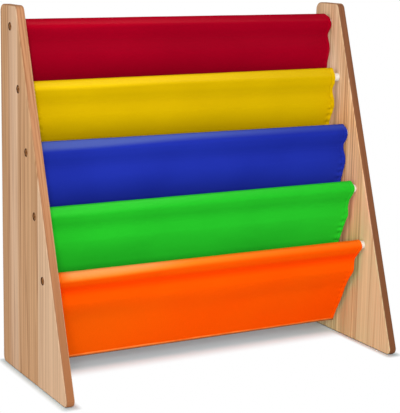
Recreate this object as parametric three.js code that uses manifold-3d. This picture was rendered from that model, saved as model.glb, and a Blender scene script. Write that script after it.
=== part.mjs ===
// Sling bookshelf for a child's room: two side boards, five cross tubes and a sewn cloth sling of four pockets.
// Millimetres. X runs across the rack, -Y is the front, +Z is up, and the floor is at Z = 0.
// The origin lies on the floor, midway between the boards and midway between their front and back ends.

import * as THREE from "three";
import { mergeVertices } from "three/addons/utils/BufferGeometryUtils.js";
import Module from "manifold-3d";

const wasm = await Module();
wasm.setup();

// The rack
const rackWidth = 627;
const rackHeight = 600;

// Side boards, upright at the back and sloping at the front
const boardThickness = 15;
const footDepth = 272; // at the floor, before the corners are rounded
const topDepth = 68;
const topBackRadius = 13;
const topFrontRadius = 11;
const footRadius = 10;
const boardEdgeRadius = 2.5;

// Cross tubes, one above the other on a line that follows the sloping front edge
const tubeDiameter = 15;
const tubeWall = 1.2;
const topTubeDrop = 34; // top of the boards to the highest tube's axis
const lowestTubeHeight = 180;
const tubeSetback = 36; // level distance from the front edge of the board to the tube's axis
const tubeSeatDepth = 3; // socket in the inner face of each board

// Plugs in the tube ends, and the bolts that hold the boards to them
const plugLength = 20;
const boltDiameter = 6;
const boltEngagement = 14; // length inside the plug
const boltTipChamfer = 1;
const boltHeadDiameter = 10.5;
const boltHeadHeight = 3;
const boltHeadRounding = 0.6;
const hexKeyAcrossFlats = 4;
const hexKeyDepth = 2;
const counterboreDiameter = 12.4;
const counterboreDepth = 4;

// Cloth
const clothThickness = 1;
const clothSideGap = 6; // free width between the cloth and each board, where it hangs midway
const crownRise = 12; // how far the stiff sleeve stands up: tube's axis to the middle of the sleeve's crown
const sleeveDrop = 24; // tube's axis to the stitch line that closes the sleeve
const sleeveHem = 4; // cloth turned under below the stitch line, at the back
const stitchForward = 2; // how far the stitch line lies in front of the straight hang
const bellyDrop = 47; // tube's axis to the fullest point of the cloth below the sleeve
const bellyDepth = 11;
const flankDrop = 95; // tube's axis to the place where the belly has mostly gone
const flankDepth = 4;
const straightDrop = 150; // top tube's axis to where the backing starts to hang straight
const pocketDrop = 169.5; // tube's axis to the seam at the pocket's foot, in a straight line
const seamAllowance = 12; // cloth laid on the backing below a pocket's seam
const lowestHem = 3; // the same at the foot of the lowest pocket, level with the backing's edge
const backingFootDrop = 155; // height of the lowest tube's axis above the backing's foot
const backingFootInset = 101; // from the boards' back edge
const sideDrawIn = 3; // how far the free side edges are drawn in at the middle of a pocket

// Clearance between neighbouring pieces, and overrun of every cutting tool
const fitGap = 0.3;
const cutOverrun = 1;

// Facets
const tubeSides = 24;
const boltSides = 16;
const cornerSegments = 5;
const edgeSegments = 3;
const flankSegments = 2;
const crownSegments = 8;
const drapeSegments = 9;
const clothStrips = 14;

// Side edges of the cloth bend beyond this share of its half width, and a sleeve narrows towards its crown by
// this share of the crown's rise
const sideBendShare = 0.75;
const crownTaperShare = 0.2;

const innerWidth = rackWidth - 2 * boardThickness;
const tubeRadius = tubeDiameter / 2;
const tubeLength = innerWidth + 2 * (tubeSeatDepth - fitGap);
const boltHoleDiameter = boltDiameter + 2 * fitGap;
const clothWidth = innerWidth - 2 * clothSideGap;

// Outlines lie in the plane of the side boards: x holds Y and y holds Z. The sloping edge leans back by this
// much for each unit of height, and rounding its foot takes a little off the board's depth.
const frontEdgeLean = (footDepth - topDepth) / rackHeight;
const roundedOff = footRadius * (frontEdgeLean + Math.hypot(1, frontEdgeLean) - 1);
const backEdge = (footDepth - roundedOff) / 2;
const frontEdgeAt = (height) => backEdge - footDepth + frontEdgeLean * height;

// Axis of each tube, from the top one down, evenly spaced
const tubeNames = ["top", "second", "third", "fourth", "lowest"];
const topTubeHeight = rackHeight - topTubeDrop;
const tubeSpacing = (topTubeHeight - lowestTubeHeight) / (tubeNames.length - 1);
const tubeAxes = tubeNames.map((name, i) => {
  const height = topTubeHeight - i * tubeSpacing;
  return new THREE.Vector2(frontEdgeAt(height) + tubeSetback, height);
});

const finishes = {
  board: { color: 0xc8a07d, roughness: 0.55, metalness: 0 },
  tube: { color: 0xe6e1d7, roughness: 0.35, metalness: 0 },
  plug: { color: 0x2b2b2d, roughness: 0.6, metalness: 0 },
  bolt: { color: 0x4a3a2c, roughness: 0.4, metalness: 0.9 },
  red: { color: 0xa80020, roughness: 0.6, metalness: 0 },
  yellow: { color: 0xe0b800, roughness: 0.6, metalness: 0 },
  blue: { color: 0x2130a4, roughness: 0.6, metalness: 0 },
  green: { color: 0x28be2a, roughness: 0.6, metalness: 0 },
  orange: { color: 0xff5c06, roughness: 0.6, metalness: 0 },
};

// The sling, from the back to the front: which tube each cloth hangs from, its finish, the share of the
// crown's rise that its sleeve has, and the share of the free width between the boards at its right end
const cloths = [
  { name: "backing_cloth", tube: 0, finish: finishes.red, crownShare: 0.7, rightGapShare: 0.35 },
  { name: "yellow_pocket_cloth", tube: 1, finish: finishes.yellow, crownShare: 0.9, rightGapShare: 0.85 },
  { name: "blue_pocket_cloth", tube: 2, finish: finishes.blue, crownShare: 1, rightGapShare: 0.2 },
  { name: "green_pocket_cloth", tube: 3, finish: finishes.green, crownShare: 0.8, rightGapShare: 0.4 },
  { name: "orange_pocket_cloth", tube: 4, finish: finishes.orange, crownShare: 0.3, rightGapShare: 0.5 },
];

const rack = new THREE.Group();

function addPiece(name, geometry, finish, parent = rack) {
  const piece = new THREE.Mesh(geometry, new THREE.MeshStandardMaterial(finish));
  piece.name = name;
  parent.add(piece);
  return piece;
}

// Outlines are drawn in the plane of the side boards and extruded across the rack
const acrossRack = new THREE.Matrix4().makeBasis(
  new THREE.Vector3(0, 1, 0),
  new THREE.Vector3(0, 0, 1),
  new THREE.Vector3(1, 0, 0),
);

function cleanMesh(geometry) {
  const bare = geometry.clone();
  bare.deleteAttribute("normal");
  bare.deleteAttribute("uv");
  const merged = mergeVertices(bare);
  const corners = merged.index.array;
  const kept = [];
  for (let i = 0; i < corners.length; i += 3) {
    const [a, b, c] = corners.slice(i, i + 3);
    if (a !== b && b !== c && c !== a) kept.push(a, b, c);
  }
  merged.setIndex(kept);
  return merged;
}

function toSolid(geometry) {
  const mesh = cleanMesh(geometry);
  const vertProperties = Float32Array.from(mesh.attributes.position.array);
  const triVerts = Uint32Array.from(mesh.index.array);
  return new wasm.Manifold(new wasm.Mesh({ numProp: 3, vertProperties, triVerts }));
}

function toGeometry(solid) {
  const mesh = solid.getMesh();
  const geometry = new THREE.BufferGeometry();
  geometry.setAttribute("position", new THREE.BufferAttribute(mesh.vertProperties, 3));
  geometry.setIndex(new THREE.BufferAttribute(mesh.triVerts, 1));
  geometry.computeVertexNormals();
  return geometry;
}

// A cylinder along X from one station to another, round the axis that an outline point gives
function crossCylinder(diameter, fromX, toX, axis, sides) {
  const cylinder = new THREE.CylinderGeometry(diameter / 2, diameter / 2, toX - fromX, sides);
  cylinder.rotateZ(-Math.PI / 2);
  return cylinder.translate((fromX + toX) / 2, axis.x, axis.y);
}

// Polygon with a fillet at each corner, its corners given counter-clockwise
function filletedShape(corners) {
  const shape = new THREE.Shape();
  corners.forEach(({ point, radius }, i) => {
    const toPrevious = corners.at(i - 1).point.clone().sub(point).normalize();
    const toNext = corners[(i + 1) % corners.length].point.clone().sub(point).normalize();
    const halfAngle = Math.acos(toPrevious.dot(toNext)) / 2;
    const reach = radius / Math.tan(halfAngle);
    const start = toPrevious.clone().multiplyScalar(reach).add(point);
    const end = toNext.clone().multiplyScalar(reach).add(point);
    const centre = toPrevious.clone().add(toNext).setLength(radius / Math.sin(halfAngle)).add(point);
    const startAngle = start.clone().sub(centre).angle();
    const endAngle = end.clone().sub(centre).angle();
    shape.absarc(centre.x, centre.y, radius, startAngle, endAngle, false);
  });
  shape.closePath();
  return shape;
}

// Side board: a slanted outline with rounded corners and edges, drilled for the tubes.
// Each tube has a shallow socket inside, a counterbore for the bolt's head outside, and a hole between.
function sideBoard(side) {
  const outline = filletedShape([
    { point: new THREE.Vector2(frontEdgeAt(0), 0), radius: footRadius },
    { point: new THREE.Vector2(backEdge, 0), radius: footRadius },
    { point: new THREE.Vector2(backEdge, rackHeight), radius: topBackRadius },
    { point: new THREE.Vector2(frontEdgeAt(rackHeight), rackHeight), radius: topFrontRadius },
  ]);
  const board = new THREE.ExtrudeGeometry(outline, {
    depth: boardThickness - 2 * boardEdgeRadius,
    curveSegments: cornerSegments,
    bevelThickness: boardEdgeRadius,
    bevelSize: boardEdgeRadius,
    bevelOffset: -boardEdgeRadius,
    bevelSegments: edgeSegments,
  });
  const insideX = innerWidth / 2;
  board.applyMatrix4(acrossRack).translate(insideX + boardEdgeRadius, 0, 0);
  const outsideX = insideX + boardThickness;
  const drillings = tubeAxes.flatMap((axis) => [
    crossCylinder(tubeDiameter + 2 * fitGap, insideX - cutOverrun, insideX + tubeSeatDepth, axis, tubeSides),
    crossCylinder(boltHoleDiameter, insideX - cutOverrun, outsideX + cutOverrun, axis, boltSides),
    crossCylinder(counterboreDiameter, outsideX - counterboreDepth, outsideX + cutOverrun, axis, boltSides),
  ]);
  let solid = toSolid(board);
  for (const drilling of drillings) solid = solid.subtract(toSolid(drilling));
  return toGeometry(side < 0 ? solid.mirror([1, 0, 0]) : solid);
}

addPiece("left_side_board", sideBoard(-1), finishes.board);
addPiece("right_side_board", sideBoard(1), finishes.board);

// Hollow round piece along X, centred on its own middle
function hollowRound(outerDiameter, boreDiameter, length, sides) {
  const section = [
    [boreDiameter, -length],
    [outerDiameter, -length],
    [outerDiameter, length],
    [boreDiameter, length],
    [boreDiameter, -length],
  ].map(([diameter, station]) => new THREE.Vector2(diameter / 2, station / 2));
  return new THREE.LatheGeometry(section, sides).rotateZ(-Math.PI / 2);
}

// Bolt along X with its tip at the start and a flat round head, which takes a hexagon key
function boltGeometry() {
  const shankRadius = boltDiameter / 2;
  const headRadius = boltHeadDiameter / 2;
  const grip = boardThickness - counterboreDepth - tubeSeatDepth + 2 * fitGap;
  const underHead = boltEngagement + grip;
  const top = underHead + boltHeadHeight;
  const profile = [
    [0, 0],
    [shankRadius - boltTipChamfer, 0],
    [shankRadius, boltTipChamfer],
    [shankRadius, underHead],
    [headRadius, underHead],
    [headRadius, top - boltHeadRounding],
    [headRadius - boltHeadRounding, top],
    [0, top],
  ].map(([radius, station]) => new THREE.Vector2(radius, station));
  const body = new THREE.LatheGeometry(profile, boltSides).rotateZ(-Math.PI / 2);
  const hexRadius = hexKeyAcrossFlats / Math.sqrt(3);
  const hexLength = hexKeyDepth + cutOverrun;
  const hexKey = new THREE.CylinderGeometry(hexRadius, hexRadius, hexLength, 6).rotateZ(-Math.PI / 2);
  hexKey.translate(top - hexKeyDepth + hexLength / 2, 0, 0);
  return toGeometry(toSolid(body).subtract(toSolid(hexKey)));
}

// Cross tubes, each with its two end plugs and the two bolts through the boards
const tubeGeometry = hollowRound(tubeDiameter, tubeDiameter - 2 * tubeWall, tubeLength, tubeSides);
const plugDiameter = tubeDiameter - 2 * tubeWall - 2 * fitGap;
const plugGeometry = hollowRound(plugDiameter, boltHoleDiameter, plugLength, boltSides);
const bolt = boltGeometry();

tubeAxes.forEach((axis, i) => {
  const tubeGroup = new THREE.Group();
  tubeGroup.position.set(0, axis.x, axis.y);
  rack.add(tubeGroup);
  addPiece(`${tubeNames[i]}_tube`, tubeGeometry, finishes.tube, tubeGroup);
  for (const [sideName, turn] of [["right", 0], ["left", Math.PI]]) {
    const end = new THREE.Group();
    end.rotation.z = turn;
    tubeGroup.add(end);
    const plug = addPiece(`${tubeNames[i]}_${sideName}_plug`, plugGeometry, finishes.plug, end);
    plug.position.x = (tubeLength - plugLength) / 2;
    const fixing = addPiece(`${tubeNames[i]}_${sideName}_bolt`, bolt, finishes.bolt, end);
    fixing.position.x = tubeLength / 2 - boltEngagement;
  }
});

// Directions of a cloth that hangs straight from a tube to a foot: down along it, and square to it forwards
function hangFrom(axis, foot) {
  const down = foot.clone().sub(axis).normalize();
  const forward = new THREE.Vector2(down.y, -down.x);
  const at = (drop, ahead) => axis.clone().addScaledVector(down, drop).addScaledVector(forward, ahead);
  return { axis, foot, down, forward, at };
}

// The backing hangs from the top tube. Each pocket's cloth hangs from its own tube and meets the backing's
// front face where its length ends.
const backingFoot = new THREE.Vector2(backEdge - backingFootInset, lowestTubeHeight - backingFootDrop);
const backingHang = hangFrom(tubeAxes[0], backingFoot);

function seamOnBacking(axis) {
  const faceStart = backingHang.at(0, clothThickness + fitGap);
  const along = axis.clone().sub(faceStart).dot(backingHang.down);
  const apart = axis.clone().sub(faceStart).dot(backingHang.forward);
  const drop = along + Math.sqrt(pocketDrop ** 2 - apart ** 2);
  return backingHang.at(drop, clothThickness + fitGap);
}

// Back face of a cloth below its stitch line: a crease, a belly, a flatter flank and the end of the curve
function drapeLine(hang, end) {
  const points = [
    hang.at(sleeveDrop, stitchForward),
    hang.at(bellyDrop, bellyDepth),
    hang.at(flankDrop, flankDepth),
    end,
  ].map((point) => new THREE.Vector3(point.x, point.y, 0));
  const curve = new THREE.CatmullRomCurve3(points, false, "centripetal");
  return curve.getPoints(drapeSegments).map((point) => new THREE.Vector2(point.x, point.y));
}

// Front face of a cloth whose back face follows a line of points
function frontFace(line) {
  return line.map((point, i) => {
    const before = line[Math.max(i - 1, 0)];
    const after = line[Math.min(i + 1, line.length - 1)];
    const along = after.clone().sub(before).normalize();
    return point.clone().add(new THREE.Vector2(along.y, -along.x).multiplyScalar(clothThickness));
  });
}

// Loop of a sleeve: along the tube's sides, up round a narrower crown, and down to the stitch line
function sleeveLoop(hang, stitch, rise, thickness) {
  const boreRadius = tubeRadius + fitGap;
  const up = hang.axis.clone().sub(stitch).normalize();
  const crown = hang.axis.clone().addScaledVector(up, rise);
  const spoke = (centre, radius, angle) =>
    up.clone().setLength(radius).rotateAround(new THREE.Vector2(), angle).add(centre);
  const arc = (centre, radius, fromAngle, toAngle, segments) =>
    Array.from({ length: segments + 1 }, (unused, i) =>
      spoke(centre, radius, THREE.MathUtils.lerp(fromAngle, toAngle, i / segments)),
    );
  const flankRadius = boreRadius + thickness;
  const crownRadius = flankRadius - crownTaperShare * rise;
  const stitchAngle = Math.PI - Math.acos(boreRadius / hang.axis.distanceTo(stitch));
  const sideAngle = Math.acos(crownTaperShare);
  return [
    ...arc(hang.axis, flankRadius, stitchAngle, sideAngle, flankSegments),
    ...arc(crown, crownRadius, sideAngle, -sideAngle, crownSegments),
    ...arc(hang.axis, flankRadius, -sideAngle, -stitchAngle, flankSegments),
  ];
}

// Section of a cloth: its sleeve, closed at the stitch line with the hem turned under, and the hanging part
function clothSection(hang, line, rise) {
  const stitch = line[0];
  const behind = hang.forward.clone().multiplyScalar(-clothThickness);
  const hemEnd = stitch.clone().addScaledVector(hang.down, sleeveHem);
  const backLine = line.slice(1).filter((point) => point.distanceTo(stitch) > 2 * sleeveHem);
  const section = new THREE.Shape([
    ...frontFace(line).reverse(),
    ...sleeveLoop(hang, stitch, rise, clothThickness),
    stitch.clone().add(behind),
    hemEnd.clone().add(behind),
    ...backLine,
  ]);
  section.holes.push(new THREE.Path([...sleeveLoop(hang, stitch, rise, 0), stitch].reverse()));
  return section;
}

function clothGeometry(hang, line, rise, rightGapShare) {
  const geometry = new THREE.ExtrudeGeometry(clothSection(hang, line, rise), {
    depth: clothWidth,
    steps: clothStrips,
    bevelEnabled: false,
  });
  geometry.applyMatrix4(acrossRack).translate(-clothWidth / 2, 0, 0);
  drawInSides(geometry, hang);
  return geometry.translate(clothSideGap * (1 - 2 * rightGapShare), 0, 0);
}

// The free side edges draw in between the sleeve and the foot, most at the middle
function drawInSides(geometry, hang) {
  const position = geometry.attributes.position;
  const length = hang.foot.distanceTo(hang.axis);
  const bendStart = (clothWidth / 2) * sideBendShare;
  const bendLength = clothWidth / 2 - bendStart;
  for (let i = 0; i < position.count; i++) {
    const point = new THREE.Vector2(position.getY(i), position.getZ(i));
    const drop = point.sub(hang.axis).dot(hang.down);
    const along = THREE.MathUtils.clamp((drop - sleeveDrop) / (length - sleeveDrop), 0, 1);
    const x = position.getX(i);
    const outwards = Math.max(Math.abs(x) - bendStart, 0) / bendLength;
    position.setX(i, x - Math.sign(x) * sideDrawIn * outwards * Math.sin(Math.PI * along));
  }
}

// Below its drape the backing runs straight to its foot, and a pocket's cloth lies on the backing
function clothEnd(tube) {
  if (tube === 0) return { hang: backingHang, curveEnd: backingHang.at(straightDrop, 0), end: backingFoot };
  const seam = seamOnBacking(tubeAxes[tube]);
  const tail = tube === tubeAxes.length - 1 ? lowestHem : seamAllowance;
  const end = seam.clone().addScaledVector(backingHang.down, tail);
  return { hang: hangFrom(tubeAxes[tube], seam), curveEnd: seam, end };
}

for (const { name, tube, finish, crownShare, rightGapShare } of cloths) {
  const { hang, curveEnd, end } = clothEnd(tube);
  const line = [...drapeLine(hang, curveEnd), end];
  addPiece(name, clothGeometry(hang, line, crownRise * crownShare, rightGapShare), finish);
}

export default rack;
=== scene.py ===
import math
from collections import namedtuple

import bmesh
import bpy
from mathutils import Matrix, Vector, noise


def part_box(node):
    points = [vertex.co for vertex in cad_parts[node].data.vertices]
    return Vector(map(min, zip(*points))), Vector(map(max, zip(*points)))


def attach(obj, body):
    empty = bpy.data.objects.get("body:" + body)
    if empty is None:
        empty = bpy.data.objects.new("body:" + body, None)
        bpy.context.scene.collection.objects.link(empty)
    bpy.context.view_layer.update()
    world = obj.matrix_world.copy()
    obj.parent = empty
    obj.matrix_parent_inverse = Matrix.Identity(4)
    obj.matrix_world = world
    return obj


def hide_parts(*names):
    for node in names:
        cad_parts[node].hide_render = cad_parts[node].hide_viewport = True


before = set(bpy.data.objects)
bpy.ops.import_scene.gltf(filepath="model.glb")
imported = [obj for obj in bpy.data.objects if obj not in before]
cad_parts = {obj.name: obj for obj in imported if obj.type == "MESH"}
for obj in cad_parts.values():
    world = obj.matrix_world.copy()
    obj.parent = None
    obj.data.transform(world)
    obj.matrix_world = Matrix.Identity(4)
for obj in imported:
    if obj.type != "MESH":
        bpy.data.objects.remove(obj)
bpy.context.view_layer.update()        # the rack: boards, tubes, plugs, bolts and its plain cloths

# Metres, as the rack's own frame: X across it, -Y the front, +Z up, the floor at Z = 0.
scene = bpy.context.scene


# Small helpers

def paint(red, green, blue):
    # a colour as the eye names it, 0 to 255, turned into light levels
    levels = [channel / 255 for channel in (red, green, blue)]
    return (*[c / 12.92 if c <= 0.04045 else ((c + 0.055) / 1.055) ** 2.4 for c in levels], 1.0)


def easeBetween(low, high, value):
    share = min(max((value - low) / (high - low), 0.0), 1.0)
    return share * share * (3 - 2 * share)


def readStops(stops, value):
    # a smooth line through a few (place, value) stops
    if value <= stops[0][0]:
        return stops[0][1]
    for (before, low), (after, high) in zip(stops, stops[1:]):
        if value <= after:
            return low + (high - low) * easeBetween(before, after, value)
    return stops[-1][1]


def drift(x, y, z):
    # smooth noise about 0, the same in each run
    return noise.noise(Vector((x, y, z)))


def tubeAxis(tubeName):
    # in the plane of the boards: x holds Y and y holds Z
    low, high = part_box(tubeName)
    return Vector(((low.y + high.y) / 2, (low.z + high.z) / 2))


def dress(node, material):
    node.data.materials.clear()
    node.data.materials.append(material)


def asMesh(name, bm):
    mesh = bpy.data.meshes.new(name)
    bm.to_mesh(mesh)
    bm.free()
    return mesh


def finishObject(name, bm, material):
    mesh = asMesh(name, bm)
    mesh.materials.append(material)
    piece = bpy.data.objects.new(name, mesh)
    scene.collection.objects.link(piece)
    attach(piece, "root")
    return piece


def giveWall(piece, thickness):
    wall = piece.modifiers.new("wall", "SOLIDIFY")
    wall.thickness = thickness
    wall.offset = 0


# Camera, at the photograph's own viewpoint

photoView = {
    "place": (-1.06105, -1.87556, 0.70028),
    "yaw": 0.51, "pitch": 0.199, "roll": 0.02,
    "focalPixels": 1302.585, "longSidePixels": 413,
    "sensor": 36.0, "clip": (0.05, 60),
}


def makeCamera():
    yaw, pitch, roll = photoView["yaw"], photoView["pitch"], photoView["roll"]
    ahead = Vector((math.sin(yaw) * math.cos(pitch),
                    math.cos(yaw) * math.cos(pitch),
                    -math.sin(pitch)))
    level = Vector((math.cos(yaw), -math.sin(yaw), 0))
    rise = level.cross(ahead)
    right = level * math.cos(roll) + rise * math.sin(roll)
    up = rise * math.cos(roll) - level * math.sin(roll)
    lens = bpy.data.cameras.new("photo_camera")
    lens.sensor_width = photoView["sensor"]
    lens.lens = photoView["focalPixels"] * photoView["sensor"] / photoView["longSidePixels"]
    lens.clip_start, lens.clip_end = photoView["clip"]
    camera = bpy.data.objects.new("photo_camera", lens)
    scene.collection.objects.link(camera)
    turn = Matrix((right, up, -ahead)).transposed().to_4x4()
    camera.matrix_world = Matrix.Translation(photoView["place"]) @ turn
    scene.camera = camera


makeCamera()
print("camera set")


# Shader writing: sums on readings add Math nodes, and one method adds every other node

class Reading:
    def __init__(self, nodes, socket):
        self.nodes = nodes
        self.socket = socket

    def math(self, operation, *values):
        return self.nodes.node("ShaderNodeMath", {"operation": operation}, dict(enumerate(values)))

    def only(self, operation):
        return self.math(operation, self)

    def atLeast(self, lowest):
        return self.math("MAXIMUM", self, lowest)

    def other(self, output):
        return Reading(self.nodes, self.socket.node.outputs[output])

    def between(self, start, end):
        # 0 before start and 1 past end, eased between them; start may be the higher of the two
        ends = {"Value": self, "From Min": start, "From Max": end}
        return self.nodes.node("ShaderNodeMapRange", {"interpolation_type": "SMOOTHSTEP"}, ends)

    def past(self, at, soft):
        return self.between(at - soft, at + soft)

    def __add__(self, value):
        return self.math("ADD", self, value)

    def __sub__(self, value):
        return self.math("SUBTRACT", self, value)

    def __rsub__(self, value):
        return self.math("SUBTRACT", value, self)

    def __mul__(self, value):
        return self.math("MULTIPLY", self, value)

    def __pow__(self, value):
        return self.math("POWER", self, value)

    def __abs__(self):
        return self.only("ABSOLUTE")

    __radd__ = __add__
    __rmul__ = __mul__


class Nodes:
    # the nodes of a material or of the world
    def __init__(self, owner):
        owner.use_nodes = True
        self.tree = owner.node_tree
        self.tree.nodes.clear()

    def node(self, kind, settings=None, inputs=None, output=0):
        made = self.tree.nodes.new(kind)
        for name, value in (settings or {}).items():
            if name == "stops":
                ramp = made.color_ramp
                while len(ramp.elements) < len(value):
                    ramp.elements.new(0.5)
                for element, (place, colour) in zip(ramp.elements, value):
                    element.position = place
                    element.color = colour
            else:
                setattr(made, name, value)
        for key, value in (inputs or {}).items():
            self.fill(made.inputs[key], value)
        return Reading(self, made.outputs[output])

    def fill(self, socket, value):
        if isinstance(value, Reading):
            self.tree.links.new(value.socket, socket)
        else:
            socket.default_value = value

    def seenRays(self):
        # 1 for what the camera sees, straight or through gloss or glass, and 0 for plain light
        ray = self.node("ShaderNodeLightPath", output="Is Camera Ray")
        return ray + ray.other("Is Glossy Ray") + ray.other("Is Transmission Ray")


class Finish(Nodes):
    def __init__(self, name):
        self.material = bpy.data.materials.new(name)
        super().__init__(self.material)
        self.shader = self.tree.nodes.new("ShaderNodeBsdfPrincipled")
        self.output = self.tree.nodes.new("ShaderNodeOutputMaterial")
        self.show(self.shaded())

    def shaded(self):
        return Reading(self, self.shader.outputs[0])

    def show(self, surface):
        self.fill(self.output.inputs["Surface"], surface)

    def set(self, **sockets):
        for name, value in sockets.items():
            self.fill(self.shader.inputs[name.replace("_", " ")], value)

    def here(self):
        return self.node("ShaderNodeTexCoord", output="Object")

    def uvMap(self, name):
        return self.node("ShaderNodeUVMap", {"uv_map": name})

    def split(self, vector):
        x = self.node("ShaderNodeSeparateXYZ", inputs={0: vector})
        return x, x.other("Y"), x.other("Z")

    def point(self, x, y, z):
        return self.node("ShaderNodeCombineXYZ", inputs={0: x, 1: y, 2: z})

    def speckle(self, where, scale, detail=2.0, roughness=0.5):
        inputs = {"Vector": where, "Scale": scale, "Detail": detail, "Roughness": roughness}
        return self.node("ShaderNodeTexNoise", inputs=inputs)

    def ramp(self, stops, share):
        return self.node("ShaderNodeValToRGB", {"stops": stops}, {0: share})

    def blend(self, share, one, two):
        return self.node("ShaderNodeMix", {"data_type": "RGBA"}, {0: share, 6: one, 7: two}, 2)

    def multiply(self, share, colour, tint):
        settings = {"data_type": "RGBA", "blend_type": "MULTIPLY"}
        return self.node("ShaderNodeMix", settings, {0: share, 6: colour, 7: tint}, 2)

    def shade(self, colour, level):
        # a colour made lighter or darker by a reading round 1
        return self.multiply(1.0, colour, self.point(level, level, level))

    def bump(self, height, distance, strength):
        inputs = {"Height": height, "Distance": distance, "Strength": strength}
        self.set(Normal=self.node("ShaderNodeBump", inputs=inputs))


# Pine boards: edge-glued planks with upright grain, satin lacquer, and darker sawn edges

pine = {
    "wander": 0.01,  # how far the grain strays over the board's height
    # noise to the metre: late-wood lines, their clusters, streaks and fibre
    "lineDensity": 150, "clusterDensity": 30, "streakDensity": 150, "fibreDensity": 620,
    # the levels of each noise over which its mark comes in, and how strong that is
    "clusterFade": (0.34, 0.62), "clusterShare": 0.65,
    "fibreFade": (0.52, 0.76), "fibreShare": 0.26,
    "streakFade": (0.34, 0.66), "streakShare": 0.26,
    "edgeFade": (0.36, 0.74), "edgeShare": 0.8,
    "markFade": (0.36, 0.52),
    "lineThinness": 11,
    "jointSoft": 0.0003, "outsideSoft": 0.002, "besideSoft": 0.03,
    "frontFade": (-0.11, -0.045),  # the inner face's front tone fades out between these, in Y
    # from the board's middle plane
    "edgeToFace": (0.0055, 0.007), "roundingIn": (0.0046, 0.006), "roundingOut": (0.0062, 0.0074),
    "footShade": 0.45,  # the sawn edge darkens down from here
    # painted contact shade along the board's foot
    "footContactShade": (0.0002, 0.0036), "contactShadeDark": 0.4,  # the arris on the floor is darker
    "endDepth": (0.0025, 0.0005), "endGrain": paint(170, 122, 84),
    "roughness": 0.52, "gloss": 0.04, "bumpDepth": 0.00012,
}

# bands: tones of the back plank from the joint to the back edge; the front plank has one tone
# marks: single dark lines as place, half width and strength
# tones: painted tints up the board's inner face, as shares of its height, against the shade and
# bounced coloured light from the cloths
# the tints beside the cloths: painted light on that face between two heights, against the cloths'
# shadow and bounced light, which comes in beside the line of the tubes, from the first distance to
# the second, where behind the line is negative
# the front tint: a painted tint towards the inner face's front edge, against bounced light from the
# cloths
boardLooks = {
    "left_side_board": {
        "joint": -0.022,
        "frontPlank": paint(202, 165, 133),
        "bands": ((-0.022, paint(190, 146, 107)), (0.056, paint(190, 146, 108)),
                  (0.066, paint(201, 165, 135)), (0.086, paint(197, 159, 129)),
                  (0.108, paint(182, 138, 100))),
        "tones": ((0.26, (0.98, 0.98, 0.98, 1)), (0.42, (1, 1, 1, 1))),
        "frontPaintedTint": (1, 1, 1, 1),
        "besideClothLight": (),
        "frontStreaks": 0.34, "backStreaks": 0.48,
        "line": paint(132, 88, 54),
        "edge": paint(190, 135, 96), "edgeLine": paint(152, 96, 60),
        "edgeFoot": paint(158, 103, 66),
        "marks": ((-0.0195, 0.0026, 0.75), (-0.0125, 0.0022, 0.6), (-0.003, 0.002, 0.35),
                  (0.021, 0.0022, 0.4), (0.05, 0.0024, 0.55), (0.1, 0.003, 0.4)),
        "insideArrisShade": -0.22, "outsideArrisShade": 0.26, "grainOffset": 3.1,
    },
    "right_side_board": {
        "joint": -0.032,
        "frontPlank": paint(214, 178, 138),
        "bands": ((-0.032, paint(214, 174, 132)), (0.05, paint(216, 174, 130)),
                  (0.07, paint(218, 176, 136)), (0.1, paint(208, 166, 128)),
                  (0.125, paint(188, 146, 110))),
        "tones": ((0.26, (0.92, 1.15, 1.12, 1)), (0.42, (1.24, 1.05, 1.12, 1)),
                  (0.56, (1.23, 1.13, 1.05, 1)), (0.66, (1.12, 1.03, 0.96, 1)),
                  (0.73, (1.16, 1.2, 1.34, 1)), (0.8, (1.08, 1.18, 1.36, 1)),
                  (0.9, (1.04, 1.1, 1.18, 1))),
        "frontPaintedTint": (1.06, 0.94, 0.96, 1),
        "besideClothLight": (
            {"heights": (0.15, 0.28), "across": (0.01, -0.024), "tint": (1.26, 1.05, 1.0, 1)},
            {"heights": (0.185, 0.275), "across": (-0.014, 0.01), "tint": (1.02, 0.93, 0.96, 1)},
            {"heights": (0.37, 0.57), "across": (0.006, -0.012), "tint": (1.24, 1.24, 1.28, 1)},
        ),
        "frontStreaks": 0.52, "backStreaks": 0.75,
        "line": paint(160, 102, 60),
        "edge": paint(136, 84, 53), "edgeLine": paint(116, 69, 43),
        "edgeFoot": paint(122, 75, 47),
        "marks": ((-0.018, 0.0018, 0.4), (0.004, 0.0016, 0.4), (0.019, 0.0018, 0.5),
                  (0.036, 0.0016, 0.4)),
        "insideArrisShade": 0.2, "outsideArrisShade": 0.26, "grainOffset": 8.7,
    },
}

# round each bolt the wood carries painted shade: on the counterbore's wall and a thin rim round it
boltRimShade = {"spaces": 4, "radius": 0.0067, "soft": 0.0004, "colour": paint(46, 22, 6)}


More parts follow.
